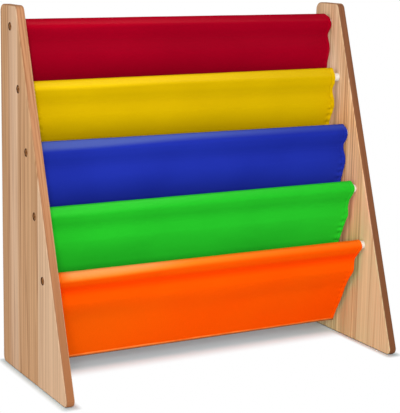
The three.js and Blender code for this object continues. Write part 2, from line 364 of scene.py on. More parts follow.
def boardWood(name, looks):
    finish = Finish(name + "_pine")
    x, y, z = finish.split(finish.here())
    low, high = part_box(name)
    middleX, depth = abs(low.x + high.x) / 2, high.y - low.y
    offset = looks["grainOffset"]
    inFront = 1 - y.past(looks["joint"], pine["jointSoft"])
    strength = inFront * (looks["frontStreaks"] - looks["backStreaks"]) + looks["backStreaks"]

    # grain seen on edge strays slowly, and the bands of the back plank follow it
    slow = finish.speckle(finish.point(x * 3 + offset, y * 9, z * 1.3), 1.0, 1.0)
    across = y + (slow - 0.5) * pine["wander"]
    bands = [((at - low.y) / depth, colour) for at, colour in looks["bands"]]
    face = finish.ramp(bands, (across - low.y) * (1 / depth))
    face = finish.blend(inFront, face, looks["frontPlank"])

    def drawnOut(density, shift, upwards, roughness=0.5):
        spot = finish.point(x * 4, across * density + shift, z * upwards)
        return finish.speckle(spot, 1.0, 1.0, roughness)

    # noise drawn out along the grain: thin dark lines in clusters, light streaks and fine fibre
    wave = drawnOut(pine["lineDensity"], offset, 1.5, 0.6)
    line = (1 - abs(wave - 0.5) * pine["lineThinness"]).atLeast(0.0)
    cluster = drawnOut(pine["clusterDensity"], offset * 3, 1.1).between(*pine["clusterFade"])
    streak = drawnOut(pine["streakDensity"], -offset, 1.6).between(*pine["streakFade"])
    fineSpot = finish.point(x * 30 + offset, across * pine["fibreDensity"], z * 5)
    fibre = finish.speckle(fineSpot, 1.0, 3.0, 0.7)
    lines = line * (cluster * pine["clusterShare"] + (1 - pine["clusterShare"]))
    lines = (lines + fibre.between(*pine["fibreFade"]) * pine["fibreShare"]) * strength
    for place, halfWidth, most in looks["marks"]:
        mark = (1 - abs(across - place) * (1 / halfWidth)).atLeast(0.0)
        fading = finish.speckle(finish.point(place * 900, offset, z * 5), 1.0, 0.0)
        lines = lines + mark * fading.between(*pine["markFade"]) * most
    face = finish.blend(finish.node("ShaderNodeClamp", inputs={0: lines}), face, looks["line"])
    face = finish.shade(face, 1.0 + (streak - 0.5) * strength * pine["streakShare"])
    onOutside = abs(x).between(middleX, middleX + pine["outsideSoft"])
    onInside = 1 - onOutside
    # painted tints by height on the inner face, against the cloths' shade and bounced light
    face = finish.multiply(onInside, face, finish.ramp(looks["tones"], z * (1 / high.z)))
    # painted tint towards the front edge, against bounced light from the cloths
    face = finish.multiply(onInside * (1 - y.between(*pine["frontFade"])), face, looks["frontPaintedTint"])

    # the five bolts stand in one line, four even spaces apart, so rounding finds the nearest
    first, last = tubeAxis("top_tube"), tubeAxis("lowest_tube")
    pitch = (last - first).length / boltRimShade["spaces"]
    way = (last - first).normalized()
    backwards, upwards = y - first.x, z - first.y
    alongLine = backwards * way.x + upwards * way.y
    besideLine = backwards * way.y - upwards * way.x
    # painted light beside the line of the tubes, where the cloths shade the inner face
    for tinted in looks["besideClothLight"]:
        lowest, highest = tinted["heights"]
        near = z.past(lowest, pine["besideSoft"]) * (1 - z.past(highest, pine["besideSoft"]))
        near = onInside * near * besideLine.between(*tinted["across"])
        face = finish.multiply(near, face, tinted["tint"])
    which = (alongLine * (1 / pitch)).only("ROUND").atLeast(0.0)
    which = which.math("MINIMUM", which, boltRimShade["spaces"])
    fromBolt = ((alongLine - which * pitch) ** 2.0 + besideLine ** 2.0) ** 0.5
    # painted shade in each counterbore and on its rim
    rimShade = 1 - fromBolt.past(boltRimShade["radius"], boltRimShade["soft"])
    face = finish.blend(rimShade * onOutside, face, boltRimShade["colour"])

    # sawn edges all round, with faint streaks; where rounded over they carry painted shade, and on
    # the left board's inner side a painted highlight
    fromMiddle = abs(abs(x) - middleX)
    onEdge = 1 - fromMiddle.between(*pine["edgeToFace"])
    edgeStreak = finish.speckle(finish.point(x * 380, y * 14 + offset, z * 8), 1.0)
    edgeStreak = edgeStreak.between(*pine["edgeFade"]) * pine["edgeShare"]
    edge = finish.blend(edgeStreak, looks["edge"], looks["edgeLine"])
    edge = finish.blend(1 - z.between(0.0, pine["footShade"]), edge, looks["edgeFoot"])
    colour = finish.blend(onEdge, face, edge)
    start, end = pine["endDepth"]
    colour = finish.blend(z.between(high.z - start, high.z - end), colour, pine["endGrain"])
    # painted shade on the rounded arrises, or a painted highlight where the share is negative
    rounding = fromMiddle.between(*pine["roundingIn"])
    rounding = rounding * (1 - fromMiddle.between(*pine["roundingOut"]))
    arris = onOutside * (looks["outsideArrisShade"] - looks["insideArrisShade"]) + looks["insideArrisShade"]
    # painted contact shade along the arris on the floor
    nearFloorShade = 1 - z.between(*pine["footContactShade"])
    colour = finish.shade(colour, 1.0 - rounding * arris - nearFloorShade * pine["contactShadeDark"])

    finish.set(Base_Color=colour, Roughness=pine["roughness"] + fibre * 0.14)
    finish.set(Specular_IOR_Level=pine["gloss"])
    finish.bump(fibre * 0.5 + line * -0.6, pine["bumpDepth"], 0.5)
    return finish.material


for nodeName, looks in boardLooks.items():
    dress(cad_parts[nodeName], boardWood(nodeName, looks))
print("boards finished")


# Tubes, plugs and bolts

tubePaint = {
    "colour": paint(236, 232, 222), "dull": paint(222, 216, 204), "dullFade": (0.4, 0.8),
    "roughness": 0.32, "coat": 0.2, "coatRoughness": 0.2, "peelDepth": 0.00005,
}
plugPlastic = {
    "colour": paint(43, 43, 45), "worn": paint(60, 60, 62), "wornFade": (0.45, 0.75),
    "roughness": 0.5, "grainDepth": 0.00004,
}
boltBronze = {
    "colour": paint(148, 96, 50), "dark": paint(78, 42, 14), "darkFade": (0.35, 0.75),
    "roughness": 0.42, "metallic": 0.15, "gloss": 0.03, "scratchDepth": 0.00003,
}


def tubeFinish():
    finish = Finish("tube_paint")
    here = finish.here()
    cloud = finish.speckle(here, 40.0, 3.0)
    peel = finish.speckle(here, 900.0)
    dulled = cloud.between(*tubePaint["dullFade"])
    finish.set(Base_Color=finish.blend(dulled, tubePaint["colour"], tubePaint["dull"]))
    finish.set(Roughness=tubePaint["roughness"] + cloud * 0.12)
    finish.set(Coat_Weight=tubePaint["coat"], Coat_Roughness=tubePaint["coatRoughness"])
    finish.bump(peel, tubePaint["peelDepth"], 0.35)
    return finish.material


def plugFinish():
    finish = Finish("plug_plastic")
    grain = finish.speckle(finish.here(), 1400.0)
    worn = grain.between(*plugPlastic["wornFade"])
    finish.set(Base_Color=finish.blend(worn, plugPlastic["colour"], plugPlastic["worn"]))
    finish.set(Roughness=plugPlastic["roughness"] + grain * 0.2)
    finish.bump(grain, plugPlastic["grainDepth"], 0.5)
    return finish.material


def boltFinish():
    finish = Finish("bolt_bronze")
    here = finish.here()
    x, y, z = finish.split(here)
    cloud = finish.speckle(here, 420.0, 3.0, 0.6)
    scratch = finish.speckle(finish.point(x * 300, y * 2600, z * 900), 1.0)
    darkened = cloud.between(*boltBronze["darkFade"])
    finish.set(Base_Color=finish.blend(darkened, boltBronze["colour"], boltBronze["dark"]))
    finish.set(Roughness=boltBronze["roughness"] + scratch * 0.15)
    finish.set(Metallic=boltBronze["metallic"], Specular_IOR_Level=boltBronze["gloss"])
    finish.bump(scratch, boltBronze["scratchDepth"], 0.4)
    return finish.material


fittings = {"_tube": tubeFinish(), "_plug": plugFinish(), "_bolt": boltFinish()}
for nodeName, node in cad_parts.items():
    for ending, material in fittings.items():
        if nodeName.endswith(ending):
            dress(node, material)
print("tubes, plugs and bolts finished")


# The sling: a red backing and four pocket cloths, each with a stiff sleeve round its tube

sling = {
    "thickness": 0.0009,
    "layerGap": 0.0013,  # middle to middle of two cloths laid on each other
    "aroundTube": 0.0013,  # tube's surface to the middle of the cloth
    "crownTaperShare": 0.42,
    "stitchDrop": 0.024, "stitchForward": 0.005, "turnedUnder": 0.006,
    "pocketDrop": 0.1695, "seamAllowance": 0.012, "lowestAllowance": 0.003,
    "straightDrop": 0.15,
    "sideGap": 0.006,  # between a board and the cloth as it was cut
    "edgeReach": 0.06,  # a side edge's own line fades out this far in
    "sideHem": 0.009, "hemStitch": 0.007,
    "columns": 170, "crowding": 0.94,  # columns stand closer together towards the sides
    "hemRows": 4, "sleeveRows": 52, "drapeRows": 66, "straightRows": 130, "tailRows": 5,
    "sideSteps": 12, "crownSteps": 24, "curveSteps": 12,
    "softening": 3,  # times that a whole line is softened
    "valleySoftening": 26, "valleyRows": 9,  # and its valley, with the rows on each side of it
}

# small forms that stand out of a cloth's even line
ripples = {
    "foldShares": (1.6, 0.7),  # soft waves and drag folds where the cloth hangs free
    "tautDrops": (0.11, 0.16), "tautShare": 0.75,  # and less of them below these drops
    "crease": 0.00035,
    "puckerLength": 0.0021, "puckerReach": 0.0055, "puckerOnSleeve": 0.35,
    "hemHeight": 0.0005, "hemEnd": (0.0008, 0.0006),
    "grooveDepth": 0.0004, "grooveReach": 0.0008,
    "frontStart": 0.55,  # share of a sleeve's rows behind and over the tube
    "behindShare": 0.35,
    "straightFade": 0.03,
    "crownWander": 0.0003, "scallop": 0.0008, "scallopDensity": 45.0,
}

cloths = {
    "red_backing": {
        "node": "backing_cloth", "tube": "top_tube", "slot": "red_cloth",
        "crownRise": (0.005, 0.0118),
        "belly": (0.047, 0.0116), "flank": (0.095, 0.0045),
        "rightEdge": ((-0.019, 0.015), (-0.015, 0.0085), (-0.006, 0.0022), (0.006, 0.0012),
                      (0.026, 0.008), (0.047, 0.0078), (0.076, 0.0125), (0.13, 0.01),
                      (0.3, 0.0075), (0.54, 0.009)),
        "leftEdge": ((-0.019, 0.0045), (-0.005, 0.003), (0.026, 0.007), (0.05, 0.007),
                     (0.09, 0.011), (0.3, 0.008), (0.54, 0.009)),
        "pucker": 0.0005, "folds": 0.001, "seed": 3.7,
    },
    "yellow_pocket": {
        "node": "yellow_pocket_cloth", "tube": "second_tube", "slot": "yellow_cloth",
        "crownRise": (0.0046, 0.015),
        "belly": (0.046, 0.011), "flank": (0.095, 0.004),
        "rightEdge": ((-0.022, 0.013), (-0.017, 0.0106), (0.008, 0.0106), (0.022, 0.0136),
                      (0.044, 0.0118), (0.082, 0.0168), (0.18, 0.014)),
        "leftEdge": ((-0.019, 0.0045), (-0.002, 0.003), (0.024, 0.008), (0.048, 0.007),
                     (0.09, 0.011), (0.18, 0.009)),
        "pucker": 0.0016, "folds": 0.0012, "seed": 11.2,
    },
    "blue_pocket": {
        "node": "blue_pocket_cloth", "tube": "third_tube", "slot": "blue_cloth",
        "crownRise": (0.0122, 0.012),
        "belly": (0.047, 0.0135), "flank": (0.095, 0.0085),
        "rightEdge": ((-0.0185, 0.0125), (-0.0145, 0.0066), (-0.006, 0.0022), (0.006, 0.0014),
                      (0.022, 0.006), (0.044, 0.0026), (0.086, 0.0036), (0.18, 0.006)),
        "leftEdge": ((-0.019, 0.0045), (-0.006, 0.003), (0.024, 0.008), (0.046, 0.008),
                     (0.09, 0.01), (0.18, 0.008)),
        "pucker": 0.0012, "folds": 0.0011, "seed": 19.9,
    },
    "green_pocket": {
        "node": "green_pocket_cloth", "tube": "fourth_tube", "slot": "green_cloth",
        "crownRise": (0.0074, 0.01),
        "belly": (0.047, 0.0118), "flank": (0.095, 0.0045),
        "rightEdge": ((-0.016, 0.012), (-0.013, 0.0085), (-0.006, 0.0046), (0.005, 0.0056),
                      (0.021, 0.0098), (0.033, 0.0112), (0.045, 0.0098), (0.06, 0.0116),
                      (0.088, 0.0108), (0.18, 0.007)),
        "leftEdge": ((-0.015, 0.004), (-0.005, 0.003), (0.024, 0.007), (0.048, 0.006),
                     (0.095, 0.009), (0.18, 0.008)),
        "pucker": 0.001, "folds": 0.0011, "seed": 27.4,
    },
    "orange_pocket": {
        "node": "orange_pocket_cloth", "tube": "lowest_tube", "slot": "orange_cloth",
        "crownRise": (0.003, 0.0012),
        "belly": (0.047, 0.0118), "flank": (0.095, 0.0045),
        "rightEdge": ((-0.011, 0.0092), (-0.0005, 0.0068), (0.012, 0.0086), (0.027, 0.0122),
                      (0.046, 0.0116), (0.066, 0.0128), (0.087, 0.01), (0.111, 0.0082),
                      (0.18, 0.007)),
        "leftEdge": ((-0.011, 0.004), (-0.0005, 0.0035), (0.029, 0.007), (0.048, 0.007),
                     (0.101, 0.009), (0.18, 0.008)),
        "pucker": 0.0006, "folds": 0.0014, "seed": 35.6,
    },
}

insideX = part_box("right_side_board")[0].x
tubeRadius = (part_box("top_tube")[1].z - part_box("top_tube")[0].z) / 2
widest = insideX - sling["sideGap"]
stitchRow = sling["hemRows"] + sling["sleeveRows"]


def hangFrom(axis, foot):
    # outlines lie in the plane of the boards too
    down = (foot - axis).normalized()
    return {"axis": axis, "foot": foot, "down": down, "forward": Vector((down.y, -down.x))}


def hangPoint(hang, drop, ahead):
    return hang["axis"] + hang["down"] * drop + hang["forward"] * ahead


# The backing ends at its plain cloth's low corner, and a pocket is sewn on where its length ends
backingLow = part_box("backing_cloth")[0]
backingFoot = Vector((backingLow.y + sling["thickness"], backingLow.z + sling["thickness"] * 0.4))
backingHang = hangFrom(tubeAxis("top_tube"), backingFoot)
backingLength = (backingFoot - backingHang["axis"]).length


def seamDrop(axis):
    start = hangPoint(backingHang, 0, sling["layerGap"])
    along = (axis - start).dot(backingHang["down"])
    apart = (axis - start).dot(backingHang["forward"])
    return along + math.sqrt(sling["pocketDrop"] ** 2 - apart ** 2)


def smoothCurve(stops, steps):
    # a curve through a few points, which doesn't overshoot where they are unevenly spaced
    ends = [stops[0] * 2 - stops[1], *stops, stops[-1] * 2 - stops[-2]]
    line = []
    for a, b, c, d in zip(ends, ends[1:], ends[2:], ends[3:]):
        tb = math.sqrt((b - a).length)
        tc = tb + math.sqrt((c - b).length)
        td = tc + math.sqrt((d - c).length)
        for step in range(steps):
            t = tb + (tc - tb) * step / steps
            share = (t - tb) / (tc - tb)
            abc = a.lerp(b, t / tb).lerp(b.lerp(c, share), t / tc)
            cd = c.lerp(d, (t - tc) / (td - tc))
            bcd = b.lerp(c, share).lerp(cd, (t - tb) / (td - tb))
            line.append(abc.lerp(bcd, share))
    return [*line, stops[-1]]


def evenly(line, rows):
    # the same line with this many steps of equal length
    lengths = [0.0]
    for a, b in zip(line, line[1:]):
        lengths.append(lengths[-1] + (b - a).length)
    result, piece = [], 0
    for row in range(rows + 1):
        wanted = lengths[-1] * row / rows
        while piece < len(line) - 2 and lengths[piece + 1] < wanted:
            piece += 1
        span = max(lengths[piece + 1] - lengths[piece], 1e-9)
        result.append(line[piece].lerp(line[piece + 1], min((wanted - lengths[piece]) / span, 1.0)))
    return result


def sleeveLine(hang, stitch, rise):
    # up the back of the tube, over the crown and down its front
    radius = tubeRadius + sling["aroundTube"]
    up = (hang["axis"] - stitch).normalized()
    crown = hang["axis"] + up * rise
    crownRadius = radius - sling["crownTaperShare"] * rise
    sideAngle = math.acos(sling["crownTaperShare"])
    stitchAngle = math.pi - math.acos(radius / (hang["axis"] - stitch).length)

    def arc(centre, size, start, end, steps):
        angles = [start + (end - start) * step / steps for step in range(steps + 1)]
        return [centre + Matrix.Rotation(angle, 2) @ up * size for angle in angles]

    return [
        *arc(hang["axis"], radius, -stitchAngle, -sideAngle, sling["sideSteps"]),
        *arc(crown, crownRadius, -sideAngle, sideAngle, sling["crownSteps"]),
        *arc(hang["axis"], radius, sideAngle, stitchAngle, sling["sideSteps"]),
    ]


def clothLine(looks, hang, rise):
    stitch = hangPoint(hang, sling["stitchDrop"], sling["stitchForward"])
    behind = stitch - hang["forward"] * sling["layerGap"]
    hem = [behind + hang["down"] * sling["turnedUnder"], behind]
    stops = [stitch, hangPoint(hang, *looks["belly"]), hangPoint(hang, *looks["flank"])]
    line = evenly(hem, sling["hemRows"])[:-1]
    line += evenly([behind, *sleeveLine(hang, stitch, rise), stitch], sling["sleeveRows"])[:-1]
    if looks["tube"] == "top_tube":
        straightStart = hangPoint(hang, sling["straightDrop"], 0)
        drape = smoothCurve([*stops, straightStart], sling["curveSteps"])
        tail = evenly([straightStart, hang["foot"]], sling["straightRows"])
    else:
        drape = smoothCurve([*stops, hang["foot"]], sling["curveSteps"])
        lowest = looks["tube"] == "lowest_tube"
        sewnDown = sling["lowestAllowance"] if lowest else sling["seamAllowance"]
        end = hang["foot"] + backingHang["down"] * sewnDown
        tail = evenly([hang["foot"], end], sling["tailRows"])
    line += evenly(drape, sling["drapeRows"])[:-1] + tail
    # soften it, and most of all the valley at the stitch line
    valley = range(stitchRow - sling["valleyRows"], stitchRow + sling["valleyRows"] + 1)
    for times in range(sling["valleySoftening"]):
        middle = [(a + b * 2 + c) / 4 for a, b, c in zip(line, line[1:], line[2:])]
        softer = [line[0], *middle, line[-1]]
        if times >= sling["softening"]:
            softer = [new if row in valley else line[row] for row, new in enumerate(softer)]
        line = softer
    return line


def waviness(looks, row, rows, drop):
    # all of the small forms on the front, some behind the tube, none where the cloth is sewn down
    if row < sling["hemRows"] or row > rows - sling["tailRows"]:
        return 0.0
    onFront = row > sling["hemRows"] + sling["sleeveRows"] * ripples["frontStart"]
    share = 1.0 if onFront else ripples["behindShare"]
    straight = sling["straightDrop"]
    if looks["tube"] == "top_tube" and drop > straight:
        share *= 1 - easeBetween(straight, straight + ripples["straightFade"], drop)
    return share


def clothPush(looks, x, drop, along, fromSide, front):
    # how far the cloth stands out of its even line, square to it
    seed = looks["seed"]
    hanging = easeBetween(sling["stitchDrop"], looks["belly"][0], drop)
    hanging *= 1 - ripples["tautShare"] * easeBetween(*ripples["tautDrops"], drop)
    soft = drift(x * 6.0 + drop * 4.0, drop * 11.0, seed)
    drag = drift(x * 17.0 - drop * 12.0, drop * 7.0 + x * 3.0, seed + 5.0)
    softShare, dragShare = ripples["foldShares"]
    push = hanging * looks["folds"] * (softShare * soft + dragShare * drag)
    push += ripples["crease"] * drift(x * 24.0, along * 30.0, seed + 9.0) * front
    # gathered side hem
    waver = 2.4 * drift(x * 8.0, along * 60.0, seed + 2.0)
    pucker = math.sin(along / ripples["puckerLength"] + waver)
    pucker += 0.8 * drift(along * 160.0, fromSide * 90.0, seed + 4.0)
    gathered = math.exp(-((fromSide - sling["hemStitch"]) / ripples["puckerReach"]) ** 2)
    onSleeve = ripples["puckerOnSleeve"]
    push += looks["pucker"] * pucker * gathered * (onSleeve + (1 - onSleeve) * hanging) * front
    before, after = ripples["hemEnd"]
    inHem = 1 - easeBetween(sling["sideHem"] - before, sling["sideHem"] + after, fromSide)
    groove = math.exp(-((fromSide - sling["hemStitch"]) / ripples["grooveReach"]) ** 2)
    return push + ripples["hemHeight"] * inHem * front - ripples["grooveDepth"] * groove * front


Spot = namedtuple("Spot", "place outwards along fromSide")


def clothSpots(looks, hang, share):
    # one column of a cloth: share runs from -1 at its left side to 1 at its right
    low, high = looks["crownRise"]
    rise = low + (high - low) * ((share + 1) / 2)
    rise += ripples["crownWander"] * drift(share * 5.0, 0.0, looks["seed"])
    line = clothLine(looks, hang, max(rise, 0.0))
    rows = len(line) - 1
    edge = looks["rightEdge"] if share > 0 else looks["leftEdge"]
    fromSide = (1 - abs(share)) * widest
    pulled = 1 - easeBetween(0, sling["edgeReach"], fromSide)
    along = 0.0
    spots = []
    for row, point in enumerate(line):
        before, after = line[max(row - 1, 0)], line[min(row + 1, rows)]
        slope = (after - before).normalized()
        outwards = Vector((slope.y, -slope.x))
        along += (point - before).length
        drop = (point - hang["axis"]).dot(hang["down"])
        scallop = drift(along * ripples["scallopDensity"], math.copysign(3, share), looks["seed"])
        edgeX = insideX - readStops(edge, drop) - ripples["scallop"] * scallop
        x = math.copysign(abs(share) * widest + (edgeX - widest) * pulled, share)
        front = waviness(looks, row, rows, drop)
        point = point + outwards * clothPush(looks, share * widest, drop, along, fromSide, front)
        place = Vector((x, point.x, point.y))
        spots.append(Spot(place, Vector((0, outwards.x, outwards.y)), along, fromSide))
    return spots


def makeCloth(name, looks, material):
    axis = tubeAxis(looks["tube"])
    if looks["tube"] == "top_tube":
        hang = backingHang
    else:
        hang = hangFrom(axis, hangPoint(backingHang, seamDrop(axis), sling["layerGap"]))
    columns = sling["columns"]
    crowding = sling["crowding"] * math.pi / 2
    shares = [math.sin((2 * column / columns - 1) * crowding) / math.sin(crowding)
              for column in range(columns + 1)]
    grid = [clothSpots(looks, hang, share) for share in shares]
    rows = len(grid[0]) - 1

    bm = bmesh.new()
    cut = bm.loops.layers.uv.new("cut")
    fall = bm.loops.layers.uv.new("drop")
    bmesh.ops.create_grid(bm, x_segments=columns, y_segments=rows, size=1)
    spots = {}
    for vertex in bm.verts:
        column = round((vertex.co.x + 1) / 2 * columns)
        row = round((vertex.co.y + 1) / 2 * rows)
        spots[vertex] = (column, grid[column][row])
        vertex.co = grid[column][row].place
    for face in bm.faces:
        face.smooth = True
        for loop in face.loops:
            column, spot = spots[loop.vert]
            side = math.copysign(1, column - columns / 2)
            loop[cut].uv = (side * (insideX - spot.fromSide), spot.along)
            onHang = Vector(loop.vert.co.yz) - axis
            loop[fall].uv = (0.0, onHang.dot(hang["down"]))
    for edge in bm.edges:
        edge.smooth = not edge.is_boundary
    bmesh.ops.recalc_face_normals(bm, faces=bm.faces)
    piece = finishObject(name, bm, material)
    giveWall(piece, sling["thickness"])
    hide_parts(looks["node"])
    return piece, grid


def cutLength(grid):
    # measured down the middle of the cloth
    return grid[len(grid) // 2][-1].along


# Cloth finish: a close plain weave of smooth yarn with a soft sheen

clothLooks = {
    "yarnPitch": 0.00055, "weaveDepth": 0.00004,
    "cloudFade": (0.3, 0.8), "cloudShare": 0.5,
    "level": 0.97, "roughness": 0.55, "gloss": 0.006,
    # coat on the stretched sleeves, which fades out between these drops below the tube's axis
    "sleeveShine": 0.02, "shineRoughness": 0.27, "shineFade": (-0.002, 0.012),
    # the crown's painted highlight and the coat fade to the right, where the painted highlight also
    # reaches less far down
    "fadesAcross": (-0.12, 0.26), "fadeShare": 0.6,
    "crownSoft": 0.004, "crownShrink": 0.0045, "shrinksAcross": (-0.24, 0.0),
    # painted shade in the dip below each sleeve, between these drops
    "dipStarts": (0.006, 0.016), "dipEnds": (0.02, 0.036), "dipShade": 0.07,
    # the low part's painted light level comes in between these drops, and changes across the cloth
    "lowDrops": (0.036, 0.084), "liftAcross": (0.0, 0.28),
    # the doubled side hem is lighter, and the line of its stitches darker
    "hemLight": 0.07, "seamDark": 0.2, "seamWidth": 0.0013, "seamInwards": 0.0008,
}

# yarns: two tones that change in soft clouds
# crown: a painted highlight where a sleeve is stretched over its tube, and how far below the axis
# it ends
# the low painted light: how much the part below the belly is lightened by painted light, at the
# left and right; below 0 it carries painted shade
# the left end, dip and gleam belong to the lowest pocket: painted light at its left against the
# left board's shade, a redder painted shade and no darkening in the dip below its sleeve, and a
# painted pale highlight along the sleeve that comes in and goes out
clothTones = {
    "red_backing": {
        "yarns": (paint(155, 0, 28), paint(138, 0, 24)),
        "crown": (paint(176, 0, 30), 0.004), "lowPaintedLight": (-0.2, -0.05),
    },
    "yellow_pocket": {
        "yarns": (paint(208, 169, 1), paint(194, 156, 0)),
        "crown": (paint(237, 195, 10), 0.0015), "lowPaintedLight": (-0.13, 0.05),
    },
    "blue_pocket": {
        "yarns": (paint(32, 48, 164), paint(24, 38, 146)),
        "crown": (paint(72, 88, 168), -0.004), "lowPaintedLight": (0.02, 0.22),
    },
    "green_pocket": {
        "yarns": (paint(38, 191, 40), paint(32, 175, 34)),
        "crown": (paint(48, 194, 48), -0.002), "lowPaintedLight": (0.38, 0.5),
    },
    "orange_pocket": {
        "yarns": (paint(254, 89, 1), paint(253, 78, 0)),
        "crown": (paint(254, 128, 28), 0.0), "lowPaintedLight": (0.0, 0.0),
        "leftEndLight": {"tone": paint(255, 108, 6), "share": 0.55,
                    "across": (-0.27, 0.02), "drops": (0.02, 0.09)},
        "dip": {"tone": paint(255, 66, 0), "share": 0.85},
        "gleam": {"tone": paint(255, 190, 128), "share": 0.34, "comesIn": (-0.29, -0.264),
                  "goesOut": (-0.14, -0.04), "drops": (-0.01, 0.0), "crownBefore": 0.4},
    },
}


def clothFinish(name):
    finish = Finish(name + "_cloth")
    tones = clothTones[name]
    u, v = finish.split(finish.uvMap("cut"))[:2]
    turns = 2 * math.pi / clothLooks["yarnPitch"]
    weave = (u * turns).only("SINE") * (v * turns).only("SINE")
    yarn = finish.speckle(finish.point(u * 1500, v * 90, 0.0), 1.0)
    here = finish.here()
    x = finish.split(here)[0]
    cloud = finish.speckle(here, 7.0)
    clouded = cloud.between(*clothLooks["cloudFade"]) * clothLooks["cloudShare"]
    base = finish.blend(clouded, *tones["yarns"])

    # the second map keeps each point's drop below the axis of its own tube
    drop = finish.split(finish.uvMap("drop"))[1]
    # painted light at the lowest pocket's left end, against the left board's shade
    if "leftEndLight" in tones:
        end = tones["leftEndLight"]
        atEnd = (1 - x.between(*end["across"])) * drop.between(*end["drops"])
        base = finish.blend(atEnd * end["share"], base, end["tone"])
    # painted highlight along each sleeve's crown, strongest at the left
    crownHighlightTone, crownEnd = tones["crown"]
    crownDrop = drop + x.between(*clothLooks["shrinksAcross"]) * clothLooks["crownShrink"]
    towardsLeft = 1 - x.between(*clothLooks["fadesAcross"]) * clothLooks["fadeShare"]
    onCrownHighlight = (1 - crownDrop.past(crownEnd, clothLooks["crownSoft"])) * towardsLeft
    gleam = tones.get("gleam")
    if gleam:
        comesIn = x.between(*gleam["comesIn"])
        onCrownHighlight = onCrownHighlight * (comesIn * (1 - gleam["crownBefore"]) + gleam["crownBefore"])
    base = finish.blend(onCrownHighlight, base, crownHighlightTone)
    # painted highlight: a pale gleam along the lowest sleeve
    if gleam:
        gleaming = comesIn * (1 - x.between(*gleam["goesOut"]))
        gleaming = gleaming * (1 - crownDrop.between(*gleam["drops"]))
        base = finish.blend(gleaming * gleam["share"], base, gleam["tone"])

    # painted light below the belly against the shade in the pocket, painted shade where negative
    leftLift, rightLift = tones["lowPaintedLight"]
    lift = x.between(*clothLooks["liftAcross"]) * (rightLift - leftLift) + leftLift
    level = clothLooks["level"] + weave * 0.05 + (yarn - 0.5) * 0.1
    level = level + drop.between(*clothLooks["lowDrops"]) * lift
    # painted shade in the dip below the sleeve, or a redder painted shade tone on the lowest pocket
    inDip = drop.between(*clothLooks["dipStarts"]) * (1 - drop.between(*clothLooks["dipEnds"]))
    if "dip" in tones:
        base = finish.blend(inDip * tones["dip"]["share"], base, tones["dip"]["tone"])
    else:
        level = level - inDip * clothLooks["dipShade"]
    outwards = abs(u)
    stitchX = insideX - sling["hemStitch"]
    hem = outwards.between(insideX - sling["sideHem"], stitchX)
    seam = 1 - abs(outwards - (stitchX - clothLooks["seamInwards"])) * (1 / clothLooks["seamWidth"])
    level = level + hem * clothLooks["hemLight"] - seam.atLeast(0.0) * clothLooks["seamDark"]

    finish.set(Base_Color=finish.shade(base, level))
    finish.set(Roughness=clothLooks["roughness"] + cloud * 0.1 - weave * 0.03)
    finish.set(Specular_IOR_Level=clothLooks["gloss"], Coat_Roughness=clothLooks["shineRoughness"])
    onSleeve = 1 - drop.between(*clothLooks["shineFade"])
    finish.set(Coat_Weight=onSleeve * towardsLeft * clothLooks["sleeveShine"])
    finish.bump(weave + yarn, clothLooks["weaveDepth"], 0.6)
    return finish.material


pieces, grids = {}, {}
for name, looks in cloths.items():
    pieces[name], grids[name] = makeCloth(name, looks, clothFinish(name))
    print("cloth", name, "cut length", round(cutLength(grids[name]), 4))


# Sewing thread: short stitches along the side hems, the sleeve's stitch line and the pocket seams

thread = {
    "pitch": 0.0034, "length": 0.0026, "radius": 0.00028, "proud": 0.00055,
    "ends": 3,  # columns or rows left free where a line of stitches ends
    "belowSeam": 0.002,  # a pocket's stitches show on the back this far below its seam
    "roughness": 0.55, "gloss": 0.04,
}


def threadFinish(name, colour):
    finish = Finish(name + "_thread")
    ply = finish.speckle(finish.here(), 5200.0, 1.0)
    finish.set(Base_Color=finish.shade(colour, 0.8 + ply * 0.35))
    finish.set(Roughness=thread["roughness"] + ply * 0.15, Specular_IOR_Level=thread["gloss"])
    return finish.material


def oneStitch():
    bm = bmesh.new()
    bmesh.ops.create_uvsphere(bm, u_segments=6, v_segments=4, radius=thread["radius"])
    bmesh.ops.scale(bm, verts=bm.verts, vec=(thread["length"] / 2 / thread["radius"], 1, 1))
    for face in bm.faces:
        face.smooth = True
    return asMesh("one_stitch", bm)


stitchMesh = oneStitch()


def sew(bm, spots, side):
    # side is 1 for the front of the cloth and -1 for its back
    travelled = 0.0
    for spot, following in zip(spots, spots[1:]):
        step = following.place - spot.place
        while travelled <= step.length and step.length > 0:
            out = spot.outwards
            place = spot.place.lerp(following.place, travelled / step.length)
            place += out * side * thread["proud"]
            ahead = step.normalized()
            turn = Matrix((ahead, out.cross(ahead).normalized(), out)).transposed().to_4x4()
            stand = Matrix.Translation(place) @ turn
            stitchMesh.transform(stand)
            bm.from_mesh(stitchMesh)
            stitchMesh.transform(stand.inverted())
            travelled += thread["pitch"]
        travelled -= step.length


def columnAt(grid, fromSide, right):
    columns = range(len(grid) - 1, -1, -1) if right else range(len(grid))
    return next(column for column in columns if grid[column][0].fromSide >= fromSide)


def makeStitches(name, looks):
    grid = grids[name]
    ends = thread["ends"]
    bm = bmesh.new()
    for right in (False, True):
        hem = grid[columnAt(grid, sling["hemStitch"], right)][stitchRow + ends:]
        sew(bm, hem, 1)
        sew(bm, hem, -1)
    sew(bm, [spots[stitchRow] for spots in grid[ends:-ends]], 1)
    if looks["tube"] == "top_tube":
        for tube in ("second_tube", "third_tube", "fourth_tube", "lowest_tube"):
            drop = seamDrop(tubeAxis(tube)) + thread["belowSeam"]
            share = (drop - sling["straightDrop"]) / (backingLength - sling["straightDrop"])
            row = len(grid[0]) - 1 - sling["straightRows"] + round(share * sling["straightRows"])
            sew(bm, [spots[row] for spots in grid[ends:-ends]], -1)
    material = threadFinish(name, clothTones[name]["yarns"][0])
    return finishObject(name + "_stitches", bm, material)


# Bound edge at the sling's foot: a narrow tape folded round the backing and the lowest pocket

